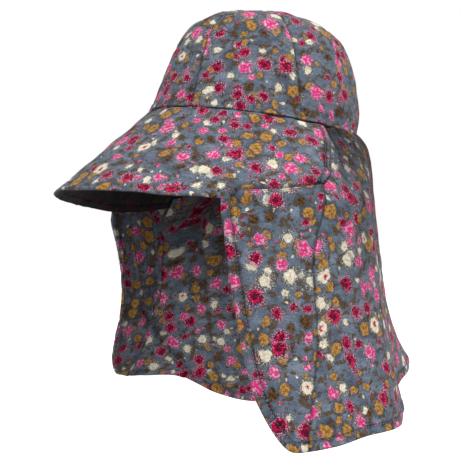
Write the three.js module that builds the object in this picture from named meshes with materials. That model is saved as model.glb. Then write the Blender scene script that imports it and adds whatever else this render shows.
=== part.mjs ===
import * as THREE from 'three';

// Sun cap: six sewn crown gores, a sloping brim and a long neck flap of three panels.
// Millimetres, +Z up, the front of the hat faces -Y and the wearer's left side is +X.
// The origin is the middle of the head opening, level with the seam between crown and brim.
// A turn is an angle about Z in degrees: 0 at the front, 90 at the wearer's left, 180 at the back.

// Head opening and crown
const headWidth = 174;
const headLength = 200;
const seamTilt = 21;
const seamDip = 3;
const crownHeight = 108;
const crownCloth = 2;
const goreCount = 6;
const goreSink = 1.2;
const goreRoundness = 8;

// Brim
const brimReach = 86;
const brimDrop = 75.5;
const brimCloth = 2.2;
const brimBow = 3;
const bandWidth = 8.5;
const bandExtra = 0.6;

// Neck flap
const flapCloth = 1.6;
const hemExtra = 0.8;
const hemWidth = 9;
const flapFlare = 100;
const flapDrop = 276;

// Clearance between separate pieces, and between cloth centres where one layer lies on another
const seamGap = 0.3;
const halfSlantedGap = 0.55 * seamGap;
const rootShare = 0.38;
const standOff = (brimCloth + bandExtra + flapCloth + hemExtra) / 2 + 2 * seamGap;

// Where the hem bands start, as shares of the brim's slope, the flap's fall and the side panel's width
const bandStart = 1 - bandWidth / Math.hypot(brimReach, brimDrop);
const hemStart = 1 - hemWidth / (flapDrop - brimDrop);
const frontHem = 0.12;

// The back panel's front edges lie under the brim: turn of its start, and where it comes out from under it
const tuckTurn = 96;
const tuckEnd = 112;
const tuckBlend = 7;

// Crown profile: rise as a share of the height, front and back reach as shares of the head opening
const crownTable = [
  { climb: 0.00, rise: 0.00, front: 1.000, back: 1.000 },
  { climb: 0.14, rise: 0.18, front: 0.920, back: 1.032 },
  { climb: 0.28, rise: 0.36, front: 0.855, back: 1.018 },
  { climb: 0.42, rise: 0.54, front: 0.775, back: 0.975 },
  { climb: 0.56, rise: 0.71, front: 0.680, back: 0.895 },
  { climb: 0.70, rise: 0.85, front: 0.552, back: 0.732 },
  { climb: 0.84, rise: 0.95, front: 0.350, back: 0.455 },
  { climb: 1.00, rise: 1.00, front: 0.000, back: 0.000 },
];

// Lower edge of the brim, carried on behind it as the shoulder of the back panel:
// reach beyond the crown seam and drop as shares of the brim's own, bow and lip as shares of theirs
const shoulderTable = [
  { turn: 0, reach: 1.000, drop: 0.841, bow: 0.1, lip: 1.0 },
  { turn: 18, reach: 0.967, drop: 0.887, bow: 0.1, lip: 1.0 },
  { turn: 32, reach: 0.907, drop: 0.927, bow: 0.2, lip: 1.0 },
  { turn: 45, reach: 0.852, drop: 0.967, bow: 0.3, lip: 1.0 },
  { turn: 55, reach: 0.802, drop: 1.000, bow: 0.4, lip: 1.0 },
  { turn: 66, reach: 0.741, drop: 1.000, bow: 0.6, lip: 1.0 },
  { turn: 78, reach: 0.697, drop: 0.954, bow: 0.8, lip: 1.0 },
  { turn: 90, reach: 0.651, drop: 0.894, bow: 1.0, lip: 1.0 },
  { turn: 104, reach: 0.540, drop: 0.848, bow: 1.6, lip: 0.8 },
  { turn: 119, reach: 0.340, drop: 0.795, bow: 2.0, lip: 0.4 },
  { turn: 136, reach: 0.190, drop: 0.768, bow: 2.0, lip: 0.2 },
  { turn: 156, reach: 0.145, drop: 0.755, bow: 2.0, lip: 0.2 },
  { turn: 180, reach: 0.150, drop: 0.742, bow: 2.0, lip: 0.2 },
];

// Rear end of the brim: the turn where it stops, from the crown seam (0) to the lower edge (1).
// Its rounded corner goes on as a tab under the side panel.
const brimEndTable = [
  { across: 0.00, turn: 103.5 },
  { across: 0.30, turn: 99.5 },
  { across: 0.60, turn: 93.0 },
  { across: 0.82, turn: 88.8 },
  { across: 0.92, turn: 84.5 },
  { across: 1.00, turn: 84.0 },
];

// Drape stations, from the wearer's left front edge round the back to the right front edge:
// turn where the cloth leaves the brim, then turn, flare, drop and mid-height sway of the hem
const drapeTable = [
  { station: 0.0, turn: 52, hemTurn: 65, flare: 1.000, drop: 0.960, sway: 0.00 },
  { station: 0.5, turn: 66, hemTurn: 70, flare: 1.075, drop: 0.962, sway: 0.00 },
  { station: 1.0, turn: 80, hemTurn: 80, flare: 1.006, drop: 0.956, sway: 0.00 },
  { station: 1.5, turn: 93, hemTurn: 91, flare: 0.920, drop: 0.940, sway: 0.00 },
  { station: 2.0, turn: 106, hemTurn: 103, flare: 0.850, drop: 0.933, sway: 0.00 },
  { station: 2.5, turn: 119, hemTurn: 119, flare: 0.600, drop: 0.914, sway: 0.00 },
  { station: 3.0, turn: 136, hemTurn: 140, flare: 0.365, drop: 0.876, sway: 0.00 },
  { station: 3.5, turn: 156, hemTurn: 161, flare: 0.500, drop: 0.840, sway: -0.01 },
  { station: 4.0, turn: 180, hemTurn: 180, flare: 0.745, drop: 0.814, sway: -0.03 },
  { station: 4.5, turn: 204, hemTurn: 202, flare: 0.670, drop: 0.885, sway: 0.00 },
  { station: 5.0, turn: 224, hemTurn: 220, flare: 0.552, drop: 0.975, sway: 0.00 },
  { station: 5.5, turn: 241, hemTurn: 240, flare: 0.596, drop: 1.008, sway: 0.00 },
  { station: 6.0, turn: 254, hemTurn: 256, flare: 0.682, drop: 0.974, sway: -0.02 },
  { station: 6.5, turn: 267, hemTurn: 267, flare: 0.880, drop: 0.915, sway: -0.05 },
  { station: 7.0, turn: 280, hemTurn: 278, flare: 1.087, drop: 0.908, sway: -0.10 },
  { station: 7.5, turn: 294, hemTurn: 287, flare: 1.088, drop: 0.903, sway: -0.16 },
  { station: 8.0, turn: 303, hemTurn: 294, flare: 1.075, drop: 0.890, sway: -0.19 },
];
const lastStation = 8;

// How far out the cloth has come at each share of its fall
const fallTable = [
  { fall: 0.00, out: 0.00 },
  { fall: 0.33, out: 0.22 },
  { fall: 0.65, out: 0.50 },
  { fall: 0.85, out: 0.77 },
  { fall: 1.00, out: 1.00 },
];

// Seam between side and back panel: stations in from the front edge, at each share of the fall
const sideSeamTable = [
  { fall: 0.00, station: 1.14 },
  { fall: 0.20, station: 0.95 },
  { fall: 0.55, station: 0.93 },
  { fall: 1.00, station: 0.66 },
];

// Rounded front corners of the side panels, as shares of the panel's width and fall
const cornerWidth = 0.85;
const cornerFallLeft = 0.23;
const cornerFallRight = 0.29;

// Points along each piece, as shares
const rowsOfCrown = [0.992, 0.93, 0.86, 0.78, 0.69, 0.6, 0.5, 0.4, 0.29, 0.18, 0.08, 0];
const columnsOfGore = [0, 0.05, 0.16, 0.33, 0.5, 0.67, 0.84, 0.95, 1];
const rowsOfBrim = [0, 0.2, 0.42, 0.64, 0.82, bandStart - 0.01, bandStart, 0.96, 0.985, 1];
const rowsOfSlope = [0, 0.15, 0.35, 0.55, 0.75, 0.92];
const rowsOfFall = [0, 0.05, 0.14, 0.26, 0.4, 0.54, 0.68, 0.8, 0.9, hemStart - 0.01, hemStart, 0.98, 1];
const columnsOfSide = [0, frontHem, frontHem + 0.02, 0.24, 0.36, 0.48, 0.6, 0.72, 0.86, 1];
const brimColumns = 40;
const backColumns = 40;

const colours = {
  crown: 0x66727f,
  brim: 0x66727f,
  flap: 0x616d7a,
};

const radians = (degrees) => degrees * Math.PI / 180;
const lerp = (a, b, share) => a + (b - a) * share;
const evenShares = (count) => Array.from({ length: count + 1 }, (_, i) => i / count);

// Smooth curve through a table's rows
function curve(table, keyIn, keyOut, x) {
  const last = table.length - 1;
  let i = 0;
  while (i < last - 1 && x > table[i + 1][keyIn]) {
    i += 1;
  }
  const span = (k) => table[k + 1][keyIn] - table[k][keyIn];
  const slope = (k) => (table[k + 1][keyOut] - table[k][keyOut]) / span(k);
  const tangent = (k) => {
    if (k === 0) return slope(0);
    if (k === last) return slope(last - 1);
    return (slope(k - 1) * span(k) + slope(k) * span(k - 1)) / (span(k) + span(k - 1));
  };
  const h = span(i);
  const s = Math.min(Math.max((x - table[i][keyIn]) / h, 0), 1);
  const rest = 1 - s;
  return rest * rest * (1 + 2 * s) * table[i][keyOut] + s * s * (3 - 2 * s) * table[i + 1][keyOut]
    + s * rest * rest * h * tangent(i) - s * s * rest * h * tangent(i + 1);
}

// Turn measured from the front, without its side
const fold = (turn) => Math.abs(((turn + 180) % 360 + 360) % 360 - 180);

// Point at a turn, radius and height
function around(turn, radius, height) {
  const angle = radians(turn);
  return new THREE.Vector3(radius * Math.sin(angle), -radius * Math.cos(angle), height);
}

// Head opening: an ellipse whose front lies higher than its back
function seamHeight(turn) {
  const angle = radians(turn);
  return seamTilt / 2 * Math.cos(angle) - seamDip * Math.sin(angle) ** 2;
}

function seamPoint(turn, inset) {
  const angle = radians(turn);
  const x = (headWidth / 2 - inset) * Math.sin(angle);
  const y = -(headLength / 2 - inset) * Math.cos(angle);
  return new THREE.Vector3(x, y, seamHeight(turn));
}

const seamRadius = (turn) => Math.hypot(seamPoint(turn, 0).x, seamPoint(turn, 0).y);

// Crown surface, inset from its outer face
function crownPoint(turn, climb, inset) {
  const rise = curve(crownTable, 'climb', 'rise', climb);
  const front = curve(crownTable, 'climb', 'front', climb);
  const back = curve(crownTable, 'climb', 'back', climb);
  const reach = lerp(front, back, (1 - Math.cos(radians(turn))) / 2);
  const point = seamPoint(turn, inset);
  const base = point.z + seamGap / 2;
  point.set(point.x * reach, point.y * reach, lerp(base, crownHeight - inset, rise));
  return point;
}

// Lower edge of the brim, or the shoulder behind it
function shoulderPoint(turn) {
  const side = fold(turn);
  const reach = curve(shoulderTable, 'turn', 'reach', side) * brimReach;
  const drop = curve(shoulderTable, 'turn', 'drop', side) * brimDrop;
  return around(turn, seamRadius(turn) + reach, -drop);
}

// Middle of the cloth from the crown seam (across 0) to the shoulder (across 1)
function slopePoint(turn, across, cloth) {
  const start = seamPoint(turn, crownCloth / 2);
  start.z -= seamGap / 2 + cloth * rootShare;
  const end = shoulderPoint(turn);
  const bow = curve(shoulderTable, 'turn', 'bow', fold(turn)) * brimBow * Math.sin(Math.PI * across);
  const outward = around(turn, bow * 0.5, bow);
  return start.lerp(end, across).add(outward);
}

// Closed sheet of cloth from a grid of mid-surface points and a thickness for each
function clothMesh(name, colour, grid, thickness) {
  const rows = grid.length;
  const columns = grid[0].length;
  const normalAt = (i, j) => {
    const along = grid[i][Math.min(j + 1, columns - 1)].clone().sub(grid[i][Math.max(j - 1, 0)]);
    const down = grid[Math.min(i + 1, rows - 1)][j].clone().sub(grid[Math.max(i - 1, 0)][j]);
    return down.cross(along).normalize();
  };
  const positions = [];
  for (const side of [1, -1]) {
    for (let i = 0; i < rows; i += 1) {
      for (let j = 0; j < columns; j += 1) {
        const offset = normalAt(i, j).multiplyScalar(side * thickness(i, j) / 2);
        positions.push(...grid[i][j].clone().add(offset).toArray());
      }
    }
  }
  return closedMesh(name, colour, positions, rows, columns);
}

// Two matching faces of rows by columns points, joined round their four edges
function closedMesh(name, colour, positions, rows, columns) {
  const inner = rows * columns;
  const at = (i, j) => i * columns + j;
  const indices = [];
  const quad = (a, b, c, d) => indices.push(a, b, c, a, c, d);
  for (let i = 0; i < rows - 1; i += 1) {
    for (let j = 0; j < columns - 1; j += 1) {
      quad(at(i, j), at(i + 1, j), at(i + 1, j + 1), at(i, j + 1));
      quad(inner + at(i, j), inner + at(i, j + 1), inner + at(i + 1, j + 1), inner + at(i + 1, j));
    }
  }
  for (let j = 0; j < columns - 1; j += 1) {
    const bottom = rows - 1;
    quad(at(0, j), at(0, j + 1), inner + at(0, j + 1), inner + at(0, j));
    quad(at(bottom, j), inner + at(bottom, j), inner + at(bottom, j + 1), at(bottom, j + 1));
  }
  for (let i = 0; i < rows - 1; i += 1) {
    const end = columns - 1;
    quad(at(i, 0), inner + at(i, 0), inner + at(i + 1, 0), at(i + 1, 0));
    quad(at(i, end), at(i + 1, end), inner + at(i + 1, end), inner + at(i, end));
  }
  const geometry = new THREE.BufferGeometry();
  geometry.setAttribute('position', new THREE.Float32BufferAttribute(positions, 3));
  geometry.setIndex(indices);
  geometry.computeVertexNormals();
  const material = new THREE.MeshStandardMaterial({ color: colour, roughness: 0.9, metalness: 0 });
  const mesh = new THREE.Mesh(geometry, material);
  mesh.name = name;
  return mesh;
}

// One gore of the crown, between two seams
function crownGore(name, middleTurn) {
  const halfTurn = 180 / goreCount;
  const positions = [];
  for (const inset of [0, crownCloth]) {
    for (const row of rowsOfCrown) {
      const ring = crownPoint(middleTurn, row, inset);
      const trim = Math.asin(Math.min(seamGap / 2 / Math.hypot(ring.x, ring.y), 0.5)) / radians(1);
      for (const column of columnsOfGore) {
        const across = 2 * column - 1;
        const sink = goreSink * across ** goreRoundness;
        const turn = middleTurn + (halfTurn - trim) * across;
        positions.push(...crownPoint(turn, row, inset + sink).toArray());
      }
    }
  }
  return closedMesh(name, colours.crown, positions, rowsOfCrown.length, columnsOfGore.length);
}

// Brim, with a thicker band along its lower edge
function brimMesh() {
  const grid = rowsOfBrim.map((across) => {
    const endTurn = curve(brimEndTable, 'across', 'turn', across);
    return evenShares(brimColumns).map((share) => slopePoint(endTurn * (2 * share - 1), across, brimCloth));
  });
  const thickness = (i) => brimCloth + (rowsOfBrim[i] >= bandStart ? bandExtra : 0);
  return clothMesh('brim', colours.brim, grid, thickness);
}

// Direction out of the brim's slope
function slopeNormal(turn, across) {
  const step = 0.02;
  const from = Math.min(across, 1 - step);
  const here = slopePoint(turn, from, brimCloth);
  const down = slopePoint(turn, from + step, brimCloth).sub(here);
  const along = slopePoint(turn + 1, from, brimCloth).sub(here);
  return down.cross(along).normalize();
}

// Where the cloth starts to hang: just outside and below the brim's edge, or the shoulder behind it
function leavePoint(turn) {
  const lip = curve(shoulderTable, 'turn', 'lip', fold(turn)) * standOff;
  return shoulderPoint(turn).add(around(turn, lip, -2 * standOff));
}

// Lower hem of the flap at a station
function hemPoint(station) {
  const turn = curve(drapeTable, 'station', 'hemTurn', station);
  const flare = curve(drapeTable, 'station', 'flare', station) * flapFlare;
  const drop = curve(drapeTable, 'station', 'drop', station) * flapDrop;
  return around(turn, seamRadius(turn) + flare, -drop);
}

// Middle of the hanging cloth, from where it leaves the brim (fall 0) to the hem (fall 1)
function drapePoint(station, fallShare) {
  const turn = curve(drapeTable, 'station', 'turn', station);
  const sway = curve(drapeTable, 'station', 'sway', station) * flapFlare * Math.sin(Math.PI * fallShare);
  const top = leavePoint(turn);
  const hem = hemPoint(station);
  const out = curve(fallTable, 'fall', 'out', fallShare);
  const height = lerp(top.z, hem.z, fallShare);
  const point = new THREE.Vector3(lerp(top.x, hem.x, out), lerp(top.y, hem.y, out), height);
  return point.add(around(turn, sway, 0));
}

// Station counted from the left front edge, for one counted from the front edge of either side
const fromLeft = (station, isLeft) => (isLeft ? station : lastStation - station);

// Station of the seam between side and back panel, counted from that side's front edge
// and moved by half the gap towards one of them
function sideSeam(fallShare, isLeft, towardsFront) {
  const station = curve(sideSeamTable, 'fall', 'station', fallShare);
  const step = 0.05;
  const here = drapePoint(fromLeft(station, isLeft), fallShare);
  const width = here.distanceTo(drapePoint(fromLeft(station + step, isLeft), fallShare));
  const trim = halfSlantedGap * step / width;
  return towardsFront ? station - trim : station + trim;
}

// Side panel: a strip over the brim's band, then the hanging cloth with a rounded front corner
function sidePanel(name, isLeft) {
  const topSeam = sideSeam(0, isLeft, true);
  const cornerFall = isLeft ? cornerFallLeft : cornerFallRight;
  const turnOf = (share) => curve(drapeTable, 'station', 'turn', fromLeft(share * topSeam, isLeft));
  const grid = [bandStart, lerp(bandStart, 1, 0.5), 1].map((across) => columnsOfSide.map((share) => {
    const turn = turnOf(share);
    return slopePoint(turn, across, brimCloth).addScaledVector(slopeNormal(turn, across), standOff);
  }));
  for (const row of rowsOfFall) {
    grid.push(columnsOfSide.map((share) => {
      const inCorner = Math.max(1 - share / cornerWidth, 0);
      const fallShare = row * (1 - cornerFall * (1 - Math.sqrt(1 - inCorner ** 2)));
      return drapePoint(fromLeft(share * sideSeam(fallShare, isLeft, true), isLeft), fallShare);
    }));
  }
  if (!isLeft) {
    grid.forEach((row) => row.reverse());
  }
  const isHem = (i, share) => i < 2 || grid.length - i < 4 || share <= frontHem;
  const shares = isLeft ? columnsOfSide : [...columnsOfSide].reverse();
  return clothMesh(name, colours.flap, grid, (i, j) => flapCloth + (isHem(i, shares[j]) ? hemExtra : 0));
}

// Back panel: from the crown seam, tucked under the rear ends of the brim, down to the hem
function backPanel() {
  const grid = rowsOfSlope.map((across) => {
    const start = lerp(tuckTurn, curve(drapeTable, 'station', 'turn', sideSeam(0, true, false)), across);
    return evenShares(backColumns).map((share) => {
      const turn = lerp(start, 360 - start, share);
      const tuck = Math.min(Math.max((tuckEnd - fold(turn)) / tuckBlend, 0), 1) * standOff;
      return slopePoint(turn, across, flapCloth).addScaledVector(slopeNormal(turn, across), -tuck);
    });
  });
  for (const row of rowsOfFall) {
    const start = sideSeam(row, true, false);
    const end = fromLeft(sideSeam(row, false, false), false);
    grid.push(evenShares(backColumns).map((share) => drapePoint(lerp(start, end, share), row)));
  }
  const thickness = (i) => flapCloth + (grid.length - i < 4 ? hemExtra : 0);
  return clothMesh('flap_back', colours.flap, grid, thickness);
}

const group = new THREE.Group();
const goreNames = ['front', 'front_left', 'back_left', 'back', 'back_right', 'front_right'];
goreNames.forEach((name, i) => group.add(crownGore(`crown_${name}`, i * 360 / goreCount)));
group.add(brimMesh());
group.add(sidePanel('flap_left', true));
group.add(sidePanel('flap_right', false));
group.add(backPanel());

export default group;
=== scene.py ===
import math

import bpy
import numpy as np
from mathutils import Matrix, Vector


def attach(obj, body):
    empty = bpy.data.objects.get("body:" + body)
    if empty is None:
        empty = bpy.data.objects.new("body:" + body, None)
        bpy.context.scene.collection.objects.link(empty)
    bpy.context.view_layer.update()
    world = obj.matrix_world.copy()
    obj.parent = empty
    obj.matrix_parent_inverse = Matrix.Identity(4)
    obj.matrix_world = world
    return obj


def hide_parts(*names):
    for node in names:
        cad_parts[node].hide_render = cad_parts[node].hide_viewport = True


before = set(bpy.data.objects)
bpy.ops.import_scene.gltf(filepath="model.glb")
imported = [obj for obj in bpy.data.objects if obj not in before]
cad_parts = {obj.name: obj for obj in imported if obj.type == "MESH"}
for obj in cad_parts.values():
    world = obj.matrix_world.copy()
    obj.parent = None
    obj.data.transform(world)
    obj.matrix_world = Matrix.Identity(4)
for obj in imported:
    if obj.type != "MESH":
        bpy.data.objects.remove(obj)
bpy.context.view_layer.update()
print("frame loaded")

# Shapes are worked out in millimetres and go into the meshes in metres.
# A turn is an angle about Z in degrees: 0 at the front (-Y), 90 at the left side (+X), 180 at the back.
mm = 0.001

opening = {
    "headWidth": 174,
    "headLength": 200,
    "seamTilt": 21,  # how much higher the front of the opening is
    "seamDip": 3,
}


def lerp(a, b, share):
    return a + (b - a) * share


def clamp01(x):
    return np.clip(x, 0.0, 1.0)


def smooth(x, low, high):
    s = clamp01((np.asarray(x, float) - low) / (high - low))
    return s * s * (3 - 2 * s)


def unit(v):
    return v / np.maximum(np.linalg.norm(v, axis=-1, keepdims=True), 1e-12)


def curve(table, keyIn, keyOut, x):
    # smooth curve through a table's columns, the same one that the CAD uses
    xs, ys = np.array(table[keyIn], float), np.array(table[keyOut], float)
    x = np.asarray(x, float)
    span = np.diff(xs)
    slope = np.diff(ys) / span
    tangent = np.empty(len(xs))
    tangent[0], tangent[-1] = slope[0], slope[-1]
    tangent[1:-1] = (slope[:-1] * span[1:] + slope[1:] * span[:-1]) / (span[1:] + span[:-1])
    i = np.clip(np.searchsorted(xs, x, side="left") - 1, 0, len(span) - 1)
    h = span[i]
    s = clamp01((x - xs[i]) / h)
    rest = 1 - s
    return (
        rest * rest * (1 + 2 * s) * ys[i]
        + s * s * (3 - 2 * s) * ys[i + 1]
        + s * rest * rest * h * tangent[i]
        - s * s * rest * h * tangent[i + 1]
    )


def fold(turn):
    return np.abs((np.asarray(turn, float) + 180) % 360 - 180)


def around(turn, radius, height):
    angle = np.radians(turn)
    return np.stack(np.broadcast_arrays(radius * np.sin(angle), -radius * np.cos(angle), height), axis=-1)


def seamPoint(turn, inset):
    angle = np.radians(turn)
    x = (opening["headWidth"] / 2 - inset) * np.sin(angle)
    y = -(opening["headLength"] / 2 - inset) * np.cos(angle)
    z = opening["seamTilt"] / 2 * np.cos(angle) - opening["seamDip"] * np.sin(angle) ** 2
    return np.stack(np.broadcast_arrays(x, y, z), axis=-1)


def seamRadius(turn):
    point = seamPoint(turn, 0)
    return np.hypot(point[..., 0], point[..., 1])


def softNoise(x, y, seed):
    # seeded noise from -1 to 1, with bumps one unit wide
    size = 97
    lattice = np.random.default_rng(seed).uniform(-1, 1, (size, size))
    xi, yi = np.floor(x).astype(int), np.floor(y).astype(int)
    fx, fy = x - xi, y - yi
    sx = fx**3 * (fx * (fx * 6 - 15) + 10)
    sy = fy**3 * (fy * (fy * 6 - 15) + 10)
    at = lambda i, j: lattice[i % size, j % size]
    return lerp(lerp(at(xi, yi), at(xi + 1, yi), sx), lerp(at(xi, yi + 1), at(xi + 1, yi + 1), sx), sy)


def bumps(flat, height, wide, tall, seed):
    # soft bumps on a cut, with their height and their size across and down in mm
    return height * softNoise(flat[..., 0] / wide, flat[..., 1] / tall, seed)


def wrinkles(x, y, seed):
    # thin broken creases, 0 to 1, where a soft noise crosses its middle
    line = np.exp(-((softNoise(x, y, seed) / 0.11) ** 2))
    return line * smooth(softNoise(x * 0.6 + 9, y * 0.6, seed + 1), 0.05, 0.45)


def stops(length, even, start, end):
    # shares of a length: fine steps given in mm at each end, even ones between
    head, tail = np.array(start) / length, 1 - np.array(end)[::-1] / length
    return np.concatenate([head, np.linspace(head[-1], tail[0], even + 2)[1:-1], tail])


def gridNormals(grid):
    return unit(np.cross(np.gradient(grid, axis=0), np.gradient(grid, axis=1)))


def fairColumns(grid, where, width, held):
    # rounds a bend across the rows at the given row, over about the given number of rows each way;
    # held is 1 for columns that keep their place from that row down
    rows = len(grid)
    reach = np.arange(-3 * width, 3 * width + 1)
    kernel = np.exp(-0.5 * (reach / width) ** 2)
    kernel /= kernel.sum()
    padded = np.concatenate([np.repeat(grid[:1], 3 * width, 0), grid, np.repeat(grid[-1:], 3 * width, 0)])
    soft = sum(k * padded[i : i + rows] for i, k in enumerate(kernel))
    place = np.arange(rows)
    mask = np.exp(-0.5 * ((place - where) / (2.2 * width)) ** 2)[:, None]
    mask = mask * (1 - np.outer(smooth(place, where - width, where), held))
    return lerp(grid, soft, mask[..., None])


def lengths(line):
    # length of a line from its start to each of its points
    return np.concatenate([[0], np.cumsum(np.linalg.norm(np.diff(line, axis=0), axis=-1))])


def resample(grid, along, shares):
    # rows of a grid at shares of its length, where along is the length from the first row to each row
    rowsAt = np.interp(shares * along[-1], along, np.arange(len(grid)))
    base = np.clip(np.floor(rowsAt).astype(int), 0, len(grid) - 2)
    return lerp(grid[base], grid[base + 1], (rowsAt - base)[:, None, None])


def fillUv(coarse, rowPick, columnPick, rows, columns):
    # every point of the cut from the coarse ones
    out = np.empty((rows, columns, 2))
    for k in range(2):
        across = np.array([np.interp(np.arange(columns), columnPick, line) for line in coarse[..., k]])
        out[..., k] = np.array([np.interp(np.arange(rows), rowPick, line) for line in across.T]).T
    return out


def cells(flat):
    # signed area of each cell of a cut
    side, down = flat[:-1, 1:] - flat[:-1, :-1], flat[1:, :-1] - flat[:-1, :-1]
    return side[..., 0] * down[..., 1] - side[..., 1] * down[..., 0]


def layFlat(grid, step):
    # the flat cut of a piece of cloth, in mm: u along its columns, v up
    rows, columns = grid.shape[:2]
    rowPick = np.unique(np.r_[np.arange(0, rows, step), rows - 1])
    columnPick = np.unique(np.r_[np.arange(0, columns, step), columns - 1])
    coarse = grid[np.ix_(rowPick, columnPick)]
    m, n = coarse.shape[:2]
    index = np.arange(m * n).reshape(m, n)
    faces = np.stack([index[:-1, :-1], index[1:, :-1], index[1:, 1:], index[:-1, 1:]], -1).reshape(-1, 4)
    mesh = bpy.data.meshes.new("cut")
    mesh.from_pydata((coarse.reshape(-1, 3) * mm).tolist(), [], faces.tolist())
    mesh.uv_layers.new(name="cut")
    cut = bpy.data.objects.new("cut", mesh)
    bpy.context.scene.collection.objects.link(cut)
    bpy.ops.object.select_all(action="DESELECT")
    cut.select_set(True)
    bpy.context.view_layer.objects.active = cut
    bpy.ops.object.mode_set(mode="EDIT")
    bpy.ops.mesh.select_all(action="SELECT")
    bpy.ops.uv.unwrap(method="MINIMUM_STRETCH", margin=0, iterations=40)
    bpy.ops.object.mode_set(mode="OBJECT")
    loops = np.empty(len(mesh.loops), int)
    mesh.loops.foreach_get("vertex_index", loops)
    uvs = np.empty(len(mesh.loops) * 2)
    mesh.uv_layers[0].data.foreach_get("uv", uvs)
    flat = np.empty((m * n, 2))
    flat[loops] = uvs.reshape(-1, 2)
    flat = flat.reshape(m, n, 2)
    bpy.data.objects.remove(cut, do_unlink=True)
    bpy.data.meshes.remove(mesh)
    cellArea = cells(flat)
    side, down = coarse[:-1, 1:] - coarse[:-1, :-1], coarse[1:, :-1] - coarse[:-1, :-1]
    trueArea = np.linalg.norm(np.cross(side, down), axis=-1).sum()
    flat *= math.sqrt(trueArea / np.abs(cellArea).sum())
    if cellArea.sum() > 0:
        flat[..., 0] *= -1
    fall = (flat[-1] - flat[0]).mean(0)
    spin = -math.pi / 2 - math.atan2(fall[1], fall[0])
    flat = flat @ np.array([[math.cos(spin), math.sin(spin)], [-math.sin(spin), math.cos(spin)]])
    flat -= flat.reshape(-1, 2).mean(0)
    return fillUv(flat, rowPick, columnPick, rows, columns)


def away(flat, line):
    # distance of every point of the cut from one of its edges
    a, b = line[:-1], line[1:]
    span = b - a
    size = np.maximum((span**2).sum(-1), 1e-9)
    out = []
    for row in flat:
        offset = row[:, None] - a
        share = clamp01((offset * span).sum(-1) / size)
        out.append(np.linalg.norm(offset - share[..., None] * span, axis=-1).min(1))
    return np.array(out)


def roundedEdge(edge, radius):
    # share of the full thickness at a distance from the nearest edge
    rest = 1 - clamp01(edge / radius)
    return np.sqrt(np.maximum(1 - rest**2, 0.004))


def addPiece(name, mesh):
    mesh.polygons.foreach_set("use_smooth", np.ones(len(mesh.polygons), bool))
    mesh.update()
    piece = bpy.data.objects.new(name, mesh)
    bpy.context.scene.collection.objects.link(piece)
    return piece


deepest = 1.16  # greatest value of the crease attribute: the painted shade on the brim's underside, which leaves it nearly black


def clothShell(name, grid, thickness, flat, shift, crease, reverse=0.0, pleats=None):
    # closed piece of cloth: two faces and a rim; both faces carry the cut as a UV map, in metres,
    # and crease says how deep each point lies in a seam, a crease or a row of stitches, 1 at its bottom, and
    # sets how much painted shade the shader puts there;
    # the inner face gets a share of that and painted shade of its own besides, and pleats carries the
    # gathers' count and depth
    rows, columns = grid.shape[:2]
    half = gridNormals(grid) * thickness[..., None] / 2
    outer, inner = grid + half, grid - half
    count = rows * columns
    index = np.arange(count).reshape(rows, columns)
    a, b, c, d = index[:-1, :-1], index[1:, :-1], index[1:, 1:], index[:-1, 1:]
    front = np.stack([a, b, c, d], -1).reshape(-1, 4)
    back = np.stack([a, d, c, b], -1).reshape(-1, 4) + count
    loop = np.concatenate([index[0, :-1], index[:-1, -1], index[-1, :0:-1], index[:0:-1, 0]])
    following = np.roll(loop, -1)
    rim = np.stack([loop, following, following + count, loop + count], -1)
    faces = np.concatenate([front, back, rim])
    points = np.concatenate([outer.reshape(-1, 3), inner.reshape(-1, 3)]) * mm
    mesh = bpy.data.meshes.new(name)
    mesh.from_pydata(points.tolist(), [], faces.tolist())
    uv = (flat.reshape(-1, 2) + np.array(shift)) * mm
    both = np.concatenate([uv, uv + np.array([0.31, 0.17])])
    layer = mesh.uv_layers.new(name="clothUv")
    layer.data.foreach_set("uv", both[faces.ravel()].ravel())
    depth = mesh.attributes.new("crease", "FLOAT", "POINT")
    # inner face: part of the painted shade of the seams, plus its own painted shade
    within = (crease * 0.6 + reverse).ravel()
    depth.data.foreach_set("value", np.clip(np.concatenate([crease.ravel(), within]), 0, deepest))
    for key, values in (pleats or {}).items():
        values = np.tile(values.ravel(), 2)
        mesh.attributes.new(key, "FLOAT", "POINT").data.foreach_set("value", values)
    return addPiece(name, mesh), outer


def lineAt(distance, width):
    # 1 on a line, falling off over a width in mm
    return np.exp(-((distance / width) ** 2))


# Thread: little raised stitches laid along a line of the cut
thread = {
    "radius": 0.24,
    "pitch": 3.1,
    "length": 2.2,
    "lift": 0.10,
    "flatness": 0.8,
    # place along the stitch, share of the radius and lift of each ring
    "rings": [
        (-0.5, 0.55, -0.22), (-0.25, 0.95, 0.02), (0, 1.0, 0.10), (0.25, 0.95, 0.02), (0.5, 0.55, -0.22),
    ],
}


def spaced(line, pitch):
    # points at even distances along a line
    along = lengths(line)
    count = max(int(along[-1] / pitch), 1)
    at = (np.arange(count) + 0.5) * along[-1] / count
    return np.stack([np.interp(at, along, line[:, k]) for k in range(line.shape[1])], -1)


def insideLine(line, distance, trimStart=0.0, trimEnd=0.0):
    # a line moved to its right-hand side, cut back at both ends
    dense = spaced(line, 1.0)
    tangent = unit(np.gradient(dense, axis=0))
    for _ in range(4):
        tangent[1:-1] = unit(tangent[:-2] + 2 * tangent[1:-1] + tangent[2:])
    moved = dense + distance * np.stack([tangent[:, 1], -tangent[:, 0]], -1)
    along = lengths(dense)
    keep = (along >= trimStart) & (along <= along[-1] - trimEnd)
    return moved[keep]


def bilinear(field, i, j):
    # value of a grid at fractional rows and columns
    i0 = np.clip(np.floor(i).astype(int), 0, field.shape[0] - 2)
    j0 = np.clip(np.floor(j).astype(int), 0, field.shape[1] - 2)
    fi, fj = (i - i0)[:, None], (j - j0)[:, None]
    top = lerp(field[i0, j0], field[i0, j0 + 1], fj)
    return lerp(top, lerp(field[i0 + 1, j0], field[i0 + 1, j0 + 1], fj), fi)


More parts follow.
